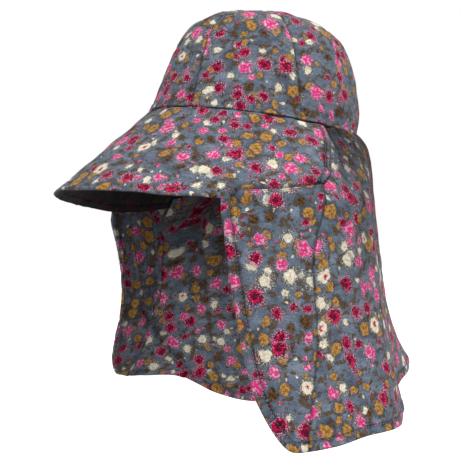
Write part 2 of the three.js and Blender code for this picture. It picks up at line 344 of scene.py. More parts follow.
def onCloth(flat, points):
    # fractional row and column of points of the cut
    rows, columns = flat.shape[:2]
    every = flat.reshape(-1, 2)
    nearest = np.array([np.argmin(((every - p) ** 2).sum(-1)) for p in points])
    i, j = (nearest // columns).astype(float), (nearest % columns).astype(float)
    inRows, inColumns = lambda x: np.clip(x, 0, rows - 1), lambda x: np.clip(x, 0, columns - 1)
    for _ in range(8):
        miss = points - bilinear(flat, i, j)
        di = bilinear(flat, inRows(i + 0.5), j) - bilinear(flat, inRows(i - 0.5), j)
        dj = bilinear(flat, i, inColumns(j + 0.5)) - bilinear(flat, i, inColumns(j - 0.5))
        det = di[:, 0] * dj[:, 1] - di[:, 1] * dj[:, 0]
        det = np.where(np.abs(det) < 1e-6, 1e-6, det)
        i = inRows(i + np.clip((miss[:, 0] * dj[:, 1] - miss[:, 1] * dj[:, 0]) / det, -3, 3))
        j = inColumns(j + np.clip((di[:, 0] * miss[:, 1] - di[:, 1] * miss[:, 0]) / det, -3, 3))
    return i, j


def stitchRows(name, face, flat, lines):
    # one mesh of thread for the given lines of a piece's cut
    sides, rings = 6, len(thread["rings"])
    angle = np.arange(sides) / sides * 2 * math.pi
    points, faces = [], []
    normals = gridNormals(face)
    for line in lines:
        centres = spaced(line, thread["pitch"])
        half = unit(np.gradient(centres, axis=0)) * thread["length"] / 2
        i, j = onCloth(flat, centres)
        middle, normal = bilinear(face, i, j), unit(bilinear(normals, i, j))
        tip, tail = onCloth(flat, centres + half), onCloth(flat, centres - half)
        forward = unit(bilinear(face, *tip) - bilinear(face, *tail))
        sideways = unit(np.cross(forward, normal))
        for centre, ahead, aside, up in zip(middle, forward, sideways, normal):
            base = len(points)
            for share, width, lift in thread["rings"]:
                hub = centre + ahead * share * thread["length"] + up * (lift + thread["lift"])
                for a in angle:
                    out = aside * math.cos(a) + up * thread["flatness"] * math.sin(a)
                    points.append(hub + thread["radius"] * width * out)
            for ring in range(base, base + (rings - 1) * sides, sides):
                for k in range(sides):
                    n = (k + 1) % sides
                    faces.append((ring + k, ring + n, ring + sides + n, ring + sides + k))
            faces.append(tuple(base + k for k in reversed(range(sides))))
            faces.append(tuple(base + (rings - 1) * sides + k for k in range(sides)))
    mesh = bpy.data.meshes.new(name)
    mesh.from_pydata((np.array(points) * mm).tolist(), [], faces)
    return addPiece(name, mesh)


# Shader maths: a socket that takes part in plain arithmetic
def feed(tree, slot, value):
    if isinstance(value, Wire):
        tree.links.new(value.socket, slot)
    else:
        slot.default_value = value


class Wire:
    def __init__(self, tree, socket):
        self.tree, self.socket = tree, socket

    def math(self, operation, *values):
        node = self.tree.nodes.new("ShaderNodeMath")
        node.operation = operation
        for slot, value in zip(node.inputs, values):
            feed(self.tree, slot, value)
        return Wire(self.tree, node.outputs[0])

    def __add__(self, other):
        return self.math("ADD", self, other)

    def __radd__(self, other):
        return self.math("ADD", other, self)

    def __sub__(self, other):
        return self.math("SUBTRACT", self, other)

    def __rsub__(self, other):
        return self.math("SUBTRACT", other, self)

    def __mul__(self, other):
        return self.math("MULTIPLY", self, other)

    def __rmul__(self, other):
        return self.math("MULTIPLY", other, self)

    def __truediv__(self, other):
        return self.math("DIVIDE", self, other)

    def sin(self):
        return self.math("SINE", self)

    def cos(self):
        return self.math("COSINE", self)

    def above(self, limit):
        return self.math("GREATER_THAN", self, limit)

    def below(self, limit):
        return self.math("LESS_THAN", self, limit)

class Nodes:
    # a material's node tree, filled from the first node to the last
    def __init__(self, tree):
        self.tree = tree

    def node(self, kind, settings=None, inputs=None):
        made = self.tree.nodes.new(kind)
        for key, value in (settings or {}).items():
            setattr(made, key, value)
        for key, value in (inputs or {}).items():
            feed(self.tree, made.inputs[key], value)
        return made

    def out(self, made, key=0):
        return Wire(self.tree, made.outputs[key])

    def vector(self, operation, a, b=None, scale=None):
        made = self.node("ShaderNodeVectorMath", {"operation": operation}, {0: a})
        if b is not None:
            feed(self.tree, made.inputs[1], b)
        if scale is not None:
            feed(self.tree, made.inputs["Scale"], scale)
        return self.out(made)

    def mix(self, a, b, share):
        made = self.node("ShaderNodeMix", {"data_type": "RGBA"}, {0: share, 6: a, 7: b})
        return self.out(made, 2)

    def step(self, x, low, high):
        made = self.node(
            "ShaderNodeMapRange",
            {"interpolation_type": "SMOOTHSTEP"},
            {"Value": x, "From Min": low, "From Max": high, "To Min": 0.0, "To Max": 1.0},
        )
        return self.out(made)

    def noise(self, where, scale, detail, rough, key=0, dimensions="2D"):
        made = self.node(
            "ShaderNodeTexNoise",
            {"noise_dimensions": dimensions},
            {"Vector": where, "Scale": scale, "Detail": detail, "Roughness": rough},
        )
        return self.out(made, key)

    def join(self, x, y):
        return self.out(self.node("ShaderNodeCombineXYZ", None, {0: x, 1: y}))

    def attribute(self, name):
        return self.out(self.node("ShaderNodeAttribute", {"attribute_name": name}), "Fac")

    def surface(self, inputs):
        made = self.node("ShaderNodeBsdfPrincipled", None, inputs)
        self.tree.links.new(made.outputs[0], self.node("ShaderNodeOutputMaterial").inputs[0])

    def parts(self, vector):
        made = self.node("ShaderNodeSeparateXYZ", None, {0: vector})
        return self.out(made, 0), self.out(made, 1), self.out(made, 2)


def newMaterial(name):
    material = bpy.data.materials.new(name)
    material.use_nodes = True
    material.node_tree.nodes.clear()
    return material, Nodes(material.node_tree)


def rgb(red, green, blue):
    # a colour given as it shows on screen, 0 to 255
    line = lambda c: c / 12.92 if c <= 0.04045 else ((c + 0.055) / 1.055) ** 2.4
    return (line(red / 255), line(green / 255), line(blue / 255), 1.0)


# Printed cotton: painterly blooms on slate blue. Sizes in mm of cloth, colours as on screen.
clothPrint = {
    "ground": rgb(103, 117, 134),
    "groundDeep": rgb(66, 76, 92),
    "groundPale": rgb(126, 140, 157),
    "crimson": rgb(200, 12, 78),
    "maroon": rgb(88, 6, 38),
    "pink": rgb(226, 58, 134),
    "palePink": rgb(236, 178, 200),
    "cream": rgb(228, 216, 186),
    "white": rgb(244, 238, 222),
    "mustard": rgb(198, 150, 78),
    "ochre": rgb(150, 104, 46),
    "brown": rgb(104, 72, 38),
    "umber": rgb(54, 38, 27),
    "olive": rgb(88, 80, 54),
    "leafCell": 13.0,
    "roughness": 0.85,
    "specular": 0.14,
    "sheen": 0.05,
    "weaveDepth": 0.45,
    "creaseShade": 0.82,  # how dark the painted shade is where the crease attribute is 1: a seam's bottom, a stitch line, the brim's underside
    "valleyShade": 0.85,  # how dark the painted shade is between two gathers
}
bloomLayers = [
    {
        "cell": 7.2, "offset": (11.0, 70.0), "jitter": 1.0, "radius": (0.9, 1.9),
        "petals": 3.0, "lobe": 0.15, "rag": 1.6, "shade": 0.0, "spray": 0.0,
        "kinds": [("cream", 0.11), ("brown", 0.06), ("mustard", 0.09), ("pink", 0.06), ("rose", 0.05)],
    },
    {
        "cell": 13.5, "offset": (95.0, 33.0), "jitter": 0.85, "radius": (2.7, 4.7),
        "petals": 5.0, "lobe": 0.08, "rag": 3.0, "shade": 0.45, "spray": 0.7,
        "kinds": [("mustard", 0.26), ("cream", 0.19), ("brown", 0.18), ("pink", 0.13), ("rose", 0.13)],
    },
    {
        "cell": 19.5, "offset": (0.0, 0.0), "jitter": 0.78, "radius": (4.3, 6.8),
        "petals": 5.0, "lobe": 0.05, "rag": 2.8, "shade": 0.55, "spray": 0.85,
        "kinds": [("rose", 0.28), ("ring", 0.03), ("pink", 0.20), ("mustard", 0.21), ("cream", 0.10)],
    },
]
# what is splashed round each kind of bloom
sprayPaint = {
    "rose": "palePink",
    "pink": "palePink",
    "ring": "cream",
    "mustard": "umber",
    "cream": "cream",
    "brown": "umber",
}


def flowerCells(nodes, where, size, offset, jitter):
    # place relative to the middle of the nearest bloom in mm, and three random numbers for it
    moved = nodes.vector("ADD", where, (offset[0], offset[1], 0.0))
    cell = nodes.vector("SCALE", moved, scale=1 / size)
    made = nodes.node(
        "ShaderNodeTexVoronoi",
        {"voronoi_dimensions": "2D", "feature": "F1"},
        {"Vector": cell, "Scale": 1.0, "Randomness": jitter},
    )
    local = nodes.vector("SCALE", nodes.vector("SUBTRACT", cell, nodes.out(made, "Position")), scale=size)
    x, y, _ = nodes.parts(local)
    luck = nodes.node("ShaderNodeSeparateColor", None, {0: nodes.out(made, "Color")})
    return x, y, [nodes.out(luck, k) for k in range(3)]


def bloomPaint(nodes, kind, share, angle, blotch, fleck):
    # colour of one kind of bloom; share runs from 0 in its middle to 1 at its edge
    look = clothPrint
    if kind == "rose":
        swirl = (share * 9.0 + angle + blotch * 5.0).sin() * 0.5 + 0.5
        body = nodes.mix(look["crimson"], look["maroon"], nodes.step(swirl, 0.35, 0.75))
        heart = nodes.mix(look["maroon"], body, nodes.step(share, 0.10, 0.42))
        return nodes.mix(heart, look["palePink"], nodes.step(fleck + share * 0.30, 0.80, 0.92))
    if kind == "pink":
        body = nodes.mix(look["pink"], look["palePink"], nodes.step(blotch + share * 0.1, 0.56, 0.68))
        return nodes.mix(body, look["crimson"], nodes.step(fleck - share * 0.15, 0.54, 0.66))
    if kind == "ring":
        petals = (angle * 5.0).cos() * 0.10
        body = nodes.mix(look["white"], look["cream"], nodes.step(blotch, 0.40, 0.62))
        body = nodes.mix(body, look["ochre"], nodes.step(fleck, 0.66, 0.76) * 0.8)
        heart = nodes.step(share + petals + blotch * 0.3, 0.54, 0.42)
        return nodes.mix(body, look["crimson"], heart)
    if kind == "mustard":
        body = nodes.mix(look["mustard"], look["ochre"], nodes.step(blotch, 0.45, 0.60))
        body = nodes.mix(body, look["brown"], nodes.step(fleck, 0.58, 0.68))
        return nodes.mix(body, look["brown"], nodes.step(share + blotch * 0.4, 0.42, 0.26))
    if kind == "cream":
        body = nodes.mix(look["cream"], look["white"], nodes.step(blotch, 0.45, 0.58))
        body = nodes.mix(body, look["mustard"], nodes.step(share + blotch * 0.9, 0.54, 0.44))
        return nodes.mix(body, look["brown"], nodes.step(fleck, 0.66, 0.75) * 0.6)
    body = nodes.mix(look["brown"], look["umber"], nodes.step(blotch, 0.42, 0.60))
    return nodes.mix(body, look["mustard"], nodes.step(fleck, 0.62, 0.74) * 0.7)


def bloomLayer(nodes, under, where, layer, blotch, fleck, ragged):
    # paints one layer of blooms over the colour under it, each with a soft shade and some spray round it
    look = clothPrint
    x, y, luck = flowerCells(nodes, where, layer["cell"], layer["offset"], layer["jitter"])
    angle = x.math("ARCTAN2", y, x) + luck[1] * 6.283
    distance = x.math("SQRT", x * x + y * y)
    radius = layer["radius"][0] + luck[1] * (layer["radius"][1] - layer["radius"][0])
    lobes = (angle * layer["petals"]).cos() * layer["lobe"] + 1.0
    share = (distance + ragged * layer["rag"]) / (radius * lobes)
    lobe = (angle * 2.5 + ragged * 0.6).cos().math("ABSOLUTE").math("POWER", 0.4)
    petals = share / (lobe * 0.62 + 0.46)
    blooming = luck[0].below(sum(part for kind, part in layer["kinds"]))
    colour = nodes.mix(under, look["groundDeep"], nodes.step(share, 1.75, 0.95) * blooming * layer["shade"])
    low = 0.0
    for kind, part in layer["kinds"]:
        paint = bloomPaint(nodes, kind, share, angle, blotch, fleck)
        chosen = luck[0].above(low) * luck[0].below(low + part)
        spray = nodes.step(share, 1.65, 1.0) * nodes.step(fleck, 0.53, 0.61) * layer["spray"]
        colour = nodes.mix(colour, look[sprayPaint[kind]], chosen * spray)
        inside = nodes.step(petals, 1.0, 0.86) if kind == "cream" else nodes.step(share, 1.0, 0.82)
        colour = nodes.mix(colour, paint, chosen * inside)
        low += part
    return colour


def printedCloth(nodes, flat, blotch, fleck):
    # colour of the print at a place of the cloth in mm
    look = clothPrint
    warp = nodes.noise(flat, 0.30, 3.0, 0.6, "Color")
    bend = nodes.vector("SUBTRACT", warp, (0.5, 0.5, 0.0))
    where = nodes.vector("ADD", flat, nodes.vector("SCALE", bend, scale=2.3))
    sweep = nodes.vector("SUBTRACT", nodes.noise(flat, 0.11, 1.0, 0.5, "Color"), (0.5, 0.5, 0.0))
    where = nodes.vector("ADD", where, nodes.vector("SCALE", sweep, scale=5.0))
    ragged = nodes.noise(flat, 1.1, 3.0, 0.75) - 0.5
    # ground with soft brush marks
    cloud = nodes.noise(nodes.vector("MULTIPLY", flat, (0.055, 0.085, 0.0)), 1.0, 3.0, 0.6)
    stroke = nodes.noise(nodes.vector("MULTIPLY", flat, (0.16, 0.75, 0.0)), 1.0, 3.0, 0.65)
    ground = nodes.mix(look["ground"], look["groundPale"], nodes.step(cloud, 0.50, 0.72))
    ground = nodes.mix(ground, look["groundDeep"], nodes.step(stroke, 0.52, 0.70) * 0.55)
    ground = nodes.mix(ground, look["groundDeep"], nodes.step(cloud, 0.47, 0.30) * 0.6)
    ground = nodes.mix(ground, look["olive"], nodes.step(blotch, 0.60, 0.74) * 0.45)
    # leaves: long dark dabs
    x, y, luck = flowerCells(nodes, where, look["leafCell"], (210.0, 55.0), 0.9)
    heading = luck[1] * 6.283
    along = x * heading.cos() + y * heading.sin()
    across = y * heading.cos() - x * heading.sin()
    reach = along.math("SQRT", along * along * 0.22 + across * across * 1.9) + ragged * 1.6
    leaf = nodes.step(reach, 2.3, 1.6) * luck[0].below(0.34)
    leafPaint = nodes.mix(look["umber"], look["brown"], nodes.step(blotch, 0.40, 0.58))
    leafPaint = nodes.mix(leafPaint, look["olive"], luck[2].above(0.55))
    colour = nodes.mix(ground, leafPaint, leaf * 0.85)
    # foliage: broken brown and olive patches between the blooms
    patch = nodes.noise(nodes.vector("ADD", flat, (12.0, 400.0, 0.0)), 0.085, 2.0, 0.5)
    broken = nodes.noise(nodes.vector("MULTIPLY", flat, (0.13, 0.19, 0.0)), 1.0, 4.0, 0.62)
    foliage = nodes.step(broken + nodes.step(patch, 0.44, 0.62) * 0.13, 0.585, 0.655)
    foliagePaint = nodes.mix(look["brown"], look["umber"], nodes.step(fleck, 0.46, 0.60))
    foliagePaint = nodes.mix(foliagePaint, look["olive"], nodes.step(blotch, 0.50, 0.58))
    colour = nodes.mix(colour, foliagePaint, foliage * 0.9)
    # pollen: pale specks
    pollen = nodes.step(nodes.noise(flat, 0.75, 3.0, 0.75), 0.665, 0.70) * nodes.step(patch, 0.55, 0.45)
    pollenPaint = nodes.mix(look["cream"], look["palePink"], nodes.step(blotch, 0.48, 0.54))
    colour = nodes.mix(colour, pollenPaint, pollen * 0.8)
    for layer in bloomLayers:
        colour = bloomLayer(nodes, colour, where, layer, blotch, fleck, ragged)
    return colour


def clothMaterial(name, shift, tone):
    look = clothPrint
    material, nodes = newMaterial(name)
    uvMap = nodes.out(nodes.node("ShaderNodeUVMap", {"uv_map": "clothUv"}))
    flat = nodes.vector("ADD", nodes.vector("SCALE", uvMap, scale=1000.0), (shift[0], shift[1], 0.0))
    # gathers: a valley between each two pleats, with painted shade and a dip in the bump there, which hides a
    # little of the print
    count, tuckIn = nodes.attribute("pleatCount"), nodes.attribute("pleatDepth")
    share = count - count.math("FLOOR")
    valley = nodes.step((share - 0.5).math("ABSOLUTE"), 0.34, 0.48) * tuckIn
    flat = nodes.vector("ADD", flat, nodes.join((share - 0.5) * tuckIn * 1.6, 0.0))
    blotch = nodes.noise(flat, 0.42, 2.0, 0.55)
    fleck = nodes.noise(nodes.vector("ADD", flat, (37.0, 91.0, 0.0)), 0.85, 2.0, 0.6)
    colour = printedCloth(nodes, flat, blotch, fleck)
    # cotton: uneven threads both ways
    warpThread = nodes.noise(nodes.vector("MULTIPLY", flat, (2.4, 0.22, 0.0)), 1.0, 2.0, 0.6)
    weftThread = nodes.noise(nodes.vector("MULTIPLY", flat, (0.22, 2.4, 0.0)), 1.0, 2.0, 0.6)
    slub = warpThread + weftThread - 1.0
    # painted shade: darker colour in seams, creases, stitch lines, under the brim and between the gathers;
    # the thread slubs and tone are the cloth's own
    shade = tone * (1.0 + slub * 0.55) * (1.0 - nodes.attribute("crease") * look["creaseShade"])
    shade = shade * (1.0 - valley * look["valleyShade"])
    tinted = nodes.node("ShaderNodeHueSaturation", None, {"Saturation": 1.0, "Value": shade, "Color": colour})
    u, v, _ = nodes.parts(flat)
    weave = (u * 9.0).sin() * (v * 9.0).sin()
    crumple = nodes.noise(flat, 0.22, 3.0, 0.6)
    height = slub * 0.8 + weave * 0.25 + fleck * 0.3 + crumple * 4.0 - valley * 6.0
    bumpInputs = {"Strength": look["weaveDepth"], "Distance": 0.0004, "Height": height}
    bump = nodes.node("ShaderNodeBump", None, bumpInputs)
    nodes.surface({
        "Base Color": nodes.out(tinted),
        "Roughness": slub * 0.2 + look["roughness"],
        "Normal": nodes.out(bump),
        "Specular IOR Level": look["specular"],
        "Sheen Weight": look["sheen"],
        "Sheen Roughness": 0.5,
    })
    return material


def threadMaterial():
    material, nodes = newMaterial("threadCotton")
    place = nodes.out(nodes.node("ShaderNodeTexCoord"), "Object")
    twist = nodes.noise(place, 900.0, 2.0, 0.6, dimensions="3D")
    colour = nodes.mix(rgb(86, 100, 118), rgb(138, 153, 170), nodes.step(twist, 0.35, 0.65))
    bump = nodes.node("ShaderNodeBump", None, {"Strength": 0.5, "Distance": 0.0001, "Height": twist})
    nodes.surface({"Base Color": colour, "Roughness": 0.7, "Normal": nodes.out(bump)})
    return material


crownPrint = clothMaterial("crownPrint", (0.0, 0.0), 1.0)
brimPrint = clothMaterial("brimPrint", (640.0, 210.0), 1.0)
flapPrint = clothMaterial("flapPrint", (1280.0, 730.0), 0.97)
cotton = threadMaterial()
print("materials made")


def finishPiece(piece, material, slotName, *nodeNames):
    piece.data.materials.clear()
    piece.data.materials.append(material)
    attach(piece, "root")
    if nodeNames:
        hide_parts(*nodeNames)


# widths in mm of the first cells beside an edge
fineSteps = [0, 0.12, 0.4, 0.8, 1.3, 2.0, 3.0]
edgeSteps = fineSteps + [4.2, 5.4, 6.4, 7.2, 7.8, 8.4, 9.0, 9.8, 11.0]

# Crown: six gores sewn edge to edge, their seams sunk
crown = {
    "height": 108,
    "cloth": 2.0,
    "gap": 0.3,  # to the brim
    "goreGap": 0.1,
    "sink": 1.3,  # how far the cloth sinks towards a seam
    "roundness": 7,  # the higher, the flatter a gore is between its seams
    "tuck": 2.0,  # how far the edges turn in at a seam
    "wrinkle": 1.6,
    "crease": 1.3,  # depth of the broken creases
    "pucker": 0.60,
    "tip": 0.9975,  # where the gores end, as a share of the climb
}
crownTable = {
    "climb": [0, 0.14, 0.28, 0.42, 0.56, 0.70, 0.84, 1],
    "rise": [0, 0.18, 0.36, 0.54, 0.71, 0.85, 0.95, 1],
    "front": [1, 0.920, 0.855, 0.775, 0.680, 0.552, 0.350, 0],
    "back": [1, 1.032, 1.018, 0.975, 0.895, 0.732, 0.455, 0],
}


goreNames = ["front", "front_left", "back_left", "back", "back_right", "front_right"]
goreTurn = 360 / len(goreNames)


def crownPoint(turn, climb, inset):
    rise = curve(crownTable, "climb", "rise", climb)
    front = curve(crownTable, "climb", "front", climb)
    back = curve(crownTable, "climb", "back", climb)
    reach = lerp(front, back, (1 - np.cos(np.radians(turn))) / 2)
    point = seamPoint(turn, inset)
    base = point[..., 2] + crown["gap"] / 2
    point = point * np.stack([reach, reach, np.ones_like(reach)], -1)
    point[..., 2] = lerp(base, crown["height"] - inset, rise)
    return point


def crownGore(name, middleTurn, seed):
    acrossAt = 2 * stops(92, 40, fineSteps + [4.5], fineSteps + [4.5]) - 1
    climbAt = crown["tip"] * (1 - stops(140, 62, [0.0, 0.4, 1.0], fineSteps))
    climb, across = np.meshgrid(climbAt, acrossAt, indexing="ij")
    ring = crownPoint(np.full_like(climb, middleTurn), climb, crown["cloth"] / 2)
    trim = np.degrees(np.arcsin(np.minimum(crown["goreGap"] / 2 / np.hypot(ring[..., 0], ring[..., 1]), 0.5)))
    turn = middleTurn + (goreTurn / 2 - trim) * across
    smoothGrid = crownPoint(turn, climb, crown["cloth"] / 2)
    flat = layFlat(smoothGrid, 3)
    sides = np.minimum(away(flat, flat[:, 0]), away(flat, flat[:, -1]))
    base = away(flat, flat[-1])
    u, v = flat[..., 0], flat[..., 1]
    lift = -crown["sink"] * np.abs(across) ** crown["roundness"]
    lift = lift - crown["tuck"] * (1 - clamp01(sides / 1.8)) ** 2
    lift = lift + crown["wrinkle"] * softNoise(u / 19 + seed, v / 26, seed) * clamp01(sides / 8)
    lift = lift + 0.34 * softNoise(u / 8, v / 10 + seed, seed + 40)
    folded = wrinkles(u / 21 + 3, v / 13, seed + 200) + 0.8 * wrinkles(u / 12, v / 24 + 5, seed + 210)
    lift = lift - crown["crease"] * folded * smooth(sides, 2, 7)
    lift = lift + bumps(flat, crown["pucker"], 11, 4.2, seed + 80) * np.exp(-sides / 5)
    lift = lift + bumps(flat, 0.55, 5.5, 14, seed + 120) * np.exp(-base / 7)
    lift = lift * clamp01(1.15 * (1 - climb) / 0.03)  # none at the very top
    grid = smoothGrid + gridNormals(smoothGrid) * lift[..., None]
    thickness = crown["cloth"] * roundedEdge(np.minimum(sides, base), 0.6)
    # painted shade in the seams, along the base and in the creases
    crease = 0.95 * lineAt(sides, 1.1) + 0.6 * lineAt(base, 0.6) + 0.16 * folded
    return clothShell(name, grid, thickness, flat, (seed * 131.0, seed * 57.0), crease)[0]


for number, goreName in enumerate(goreNames):
    gore = crownGore("cloth_crown_" + goreName, number * goreTurn, number + 1)
    finishPiece(gore, crownPrint, "crown_cloth", "crown_" + goreName)
print("crown made")

# Brim: a sloping band of stiffened cloth from the front round to both sides
brim = {
    "reach": 86,
    "drop": 75.5,
    "cloth": 2.2,
    "bow": 3,
    "band": 8.5,  # width of the turned-up edge
    "bandExtra": 0.8,
    "rootShare": 0.38,
    "wrinkle": 0.85,
    "reverse": deepest,  # how much painted shade the underside gets, leaving it nearly black
    "endStitch": 1.7,  # distance of both rows of stitches from the rear ends
    "endRow": 6.0,
}
shoulderTable = {
    "turn": [0, 18, 32, 45, 55, 66, 78, 90, 104, 119, 136, 156, 180],
    "reach": [1.000, 0.967, 0.907, 0.852, 0.802, 0.741, 0.697, 0.651, 0.540, 0.340, 0.190, 0.145, 0.150],
    "drop": [0.841, 0.887, 0.927, 0.967, 1.000, 1.000, 0.954, 0.894, 0.848, 0.795, 0.768, 0.755, 0.742],
    "bow": [0.1, 0.1, 0.2, 0.3, 0.4, 0.6, 0.8, 1.0, 1.6, 2.0, 2.0, 2.0, 2.0],
    "lip": [1.0, 1.0, 1.0, 1.0, 1.0, 1.0, 1.0, 1.0, 0.8, 0.4, 0.2, 0.2, 0.2],
}
brimEndTable = {
    "across": [0, 0.30, 0.60, 0.82, 0.92, 1],
    "turn": [103.5, 99.5, 93, 88.8, 84.5, 84],
}
slantLength = math.hypot(brim["reach"], brim["drop"])
bandStart = 1 - brim["band"] / slantLength


def shoulderPoint(turn):
    side = fold(turn)
    reach = curve(shoulderTable, "turn", "reach", side) * brim["reach"]
    drop = curve(shoulderTable, "turn", "drop", side) * brim["drop"]
    return around(turn, seamRadius(turn) + reach, -drop)


def slopePoint(turn, across, cloth):
    start = seamPoint(turn, crown["cloth"] / 2)
    start[..., 2] -= crown["gap"] / 2 + cloth * brim["rootShare"]
    bow = curve(shoulderTable, "turn", "bow", fold(turn)) * brim["bow"] * np.sin(np.pi * across)
    share = np.asarray(across)[..., None]
    return lerp(start, shoulderPoint(turn), share) + around(turn, bow * 0.5, bow)


def slopeNormal(turn, across):
    below = np.minimum(across, 0.98)
    here = slopePoint(turn, below, brim["cloth"])
    down = slopePoint(turn, below + 0.02, brim["cloth"]) - here
    along = slopePoint(turn + 1, below, brim["cloth"]) - here
    return unit(np.cross(down, along))


acrossAt = stops(slantLength, 34, fineSteps, edgeSteps)
aroundAt = stops(430, 200, edgeSteps[:9], edgeSteps[:9])
acrossGrid, shareGrid = np.meshgrid(acrossAt, aroundAt, indexing="ij")
endTurn = curve(brimEndTable, "across", "turn", acrossGrid)
turnGrid = endTurn * (2 * shareGrid - 1)
brimSmooth = slopePoint(turnGrid, acrossGrid, brim["cloth"])
brimFlat = layFlat(brimSmooth, 4)
brimLower = away(brimFlat, brimFlat[-1])
brimEnds = np.minimum(away(brimFlat, brimFlat[:, 0]), away(brimFlat, brimFlat[:, -1]))
brimRoot = away(brimFlat, brimFlat[0])
u, v = brimFlat[..., 0], brimFlat[..., 1]
arc = turnGrid * 1.5  # mm along the crown seam
folded = wrinkles(u / 20, v / 14, 311) + wrinkles(u / 34 + 4, v / 12, 321)
lift = bumps(brimFlat, brim["wrinkle"], 26, 19, 301) - 0.5 * folded
lift = lift + bumps(brimFlat, 0.28, 8, 10, 302)
lift = lift + 0.60 * softNoise(arc / 4.5, brimRoot / 16, 303) * np.exp(-brimRoot / 9)
lift = lift + 0.40 * softNoise(arc / 3.2, brimLower / 9, 304) * np.exp(-np.abs(brimLower - brim["band"]) / 4)
nearRow = np.exp(-np.abs(brimEnds - brim["endRow"]) / 5)
lift = lift + 0.45 * softNoise(brimEnds / 9, brimRoot / 5, 305) * nearRow
brimGrid = brimSmooth + gridNormals(brimSmooth) * lift[..., None]
inBand = 1 - smooth(brimLower, brim["band"] - 0.3, brim["band"] + 0.9)
inEnd = 1 - smooth(brimEnds, brim["endRow"] - 0.2, brim["endRow"] + 0.9)
dip = lineAt(brimLower - brim["band"], 0.8) + lineAt(brimEnds - brim["endRow"], 0.8)
brimThick = brim["cloth"] + brim["bandExtra"] * np.maximum(inBand, inEnd) - 0.7 * np.minimum(dip, 1.2)
# painted shade along both rows of stitches, along the rear edges where they lie over the flap, at the root
# seam and in the creases
brimCrease = 0.6 * lineAt(brimLower - brim["band"], 1.1) + 1.1 * lineAt(brimEnds - brim["endRow"], 1.3)
brimCrease = brimCrease + 1.2 * lineAt(brimEnds, 2.0) + 0.5 * lineAt(brimRoot, 0.6) + 0.14 * folded
# pressed-in line along the upper edge of the side panels: a groove in the brim with a painted shadow along it
underFlap = smooth(np.abs(turnGrid), 52, 54) * lineAt(brimLower - brim["band"] - 2.4, 2.0)
brimCrease = brimCrease + 0.9 * underFlap
brimEdge = np.minimum(np.minimum(brimLower, brimEnds), brimRoot)
brimThick = (brimThick - 0.9 * underFlap) * roundedEdge(brimEdge, 1.2)
brimCloth, brimOuter = clothShell(
    "cloth_brim", brimGrid, brimThick, brimFlat, (0.0, 0.0), brimCrease, brim["reverse"]
)
finishPiece(brimCloth, brimPrint, "brim_cloth", "brim")

brimLines = [insideLine(brimFlat[-1], -brim["band"], 4, 4)]
for rearEnd, inwards in ((brimFlat[:, 0], -1), (brimFlat[:, -1], 1)):
    brimLines.append(insideLine(rearEnd, inwards * brim["endStitch"], 3, 4))
    brimLines.append(insideLine(rearEnd, inwards * brim["endRow"], 3, 8))
brimStitches = stitchRows("stitches_brim", brimOuter, brimFlat, brimLines)
finishPiece(brimStitches, cotton, "brim_cloth")
print("brim made")

# Neck flap: two side panels sewn over the brim's edge, and a back panel gathered into the crown seam
flap = {
    "cloth": 1.6,
    "hemExtra": 1.2,
    "hem": 6.4,  # width of the turned hem
    "topHem": 2.0,
    "dim": 0.16,  # how much painted shade the inner face gets under the brim
    "tape": 3.4,  # half the width of the strips over the side seams, below and where the brim ends
    "tapeTop": 8.0,
    "tapeCloth": 0.5,
    "tapeIn": 1.5,  # how far they lie behind the middle of the cloth
    "flare": 100,
    "drop": 276,
    "gap": 0.02,
    "stationWidth": 84,  # about, along the brim's edge
    "seamLength": 275,  # of the gathered edge
    "wrinkle": 1.9,
    "crease": 0.9,
    "gather": 1.5,  # height of the gathers under the crown seam
    "gatherWidth": 5.2,
    "topCorner": 6.0,  # rounding of the upper front corners, in mm
    "cornerWidth": 0.85,
    "cornerFall": {True: 0.23, False: 0.29},  # left and right panel
    "backEnd": 0.955,  # how far down the brim's slope the back panel follows it
    "tuckTurn": 96,  # where it starts, and where it comes out from under the brim
    "tuckEnd": 112,
    "tuckBlend": 7,
}
standOff = (brim["cloth"] + 0.6 + flap["cloth"] + 0.8) / 2 + 0.6
drapeTable = {
    "station": [0, 0.5, 1, 1.5, 2, 2.5, 3, 3.5, 4, 4.5, 5, 5.5, 6, 6.5, 7, 7.5, 8],
    "turn": [52, 66, 80, 93, 106, 119, 136, 156, 180, 204, 224, 241, 254, 267, 280, 294, 303],
    "hemTurn": [65, 70, 80, 91, 103, 119, 140, 161, 180, 202, 220, 240, 256, 267, 278, 287, 294],
    "flare": [
        1.000, 1.075, 1.006, 0.920, 0.850, 0.600, 0.365, 0.500, 0.745,
        0.670, 0.552, 0.596, 0.682, 0.880, 1.087, 1.088, 1.075,
    ],
    "drop": [
        0.960, 0.962, 0.956, 0.940, 0.933, 0.914, 0.876, 0.840, 0.814,
        0.885, 0.975, 1.008, 0.974, 0.915, 0.908, 0.903, 0.890,
    ],
    "sway": [0, 0, 0, 0, 0, 0, 0, -0.01, -0.03, 0, 0, 0, -0.02, -0.05, -0.10, -0.16, -0.19],
}
lastStation = drapeTable["station"][-1]
fallTable = {"fall": [0, 0.33, 0.65, 0.85, 1], "out": [0, 0.22, 0.50, 0.77, 1]}
sideSeamTable = {"fall": [0, 0.20, 0.55, 1], "station": [1.14, 0.95, 0.93, 0.66]}


def leavePoint(turn):
    lip = curve(shoulderTable, "turn", "lip", fold(turn)) * standOff
    return shoulderPoint(turn) + around(turn, lip, -2 * standOff)


def drapePoint(station, fallShare):
    turn = curve(drapeTable, "station", "turn", station)
    sway = curve(drapeTable, "station", "sway", station) * flap["flare"] * np.sin(np.pi * fallShare)
    hemTurn = curve(drapeTable, "station", "hemTurn", station)
    flare = curve(drapeTable, "station", "flare", station) * flap["flare"]
    drop = curve(drapeTable, "station", "drop", station) * flap["drop"]
    top, hem = leavePoint(turn), around(hemTurn, seamRadius(hemTurn) + flare, -drop)
    out = curve(fallTable, "fall", "out", fallShare)
    share = np.stack(np.broadcast_arrays(out, out, fallShare), -1)
    return lerp(top, hem, share) + around(turn, sway, 0.0)


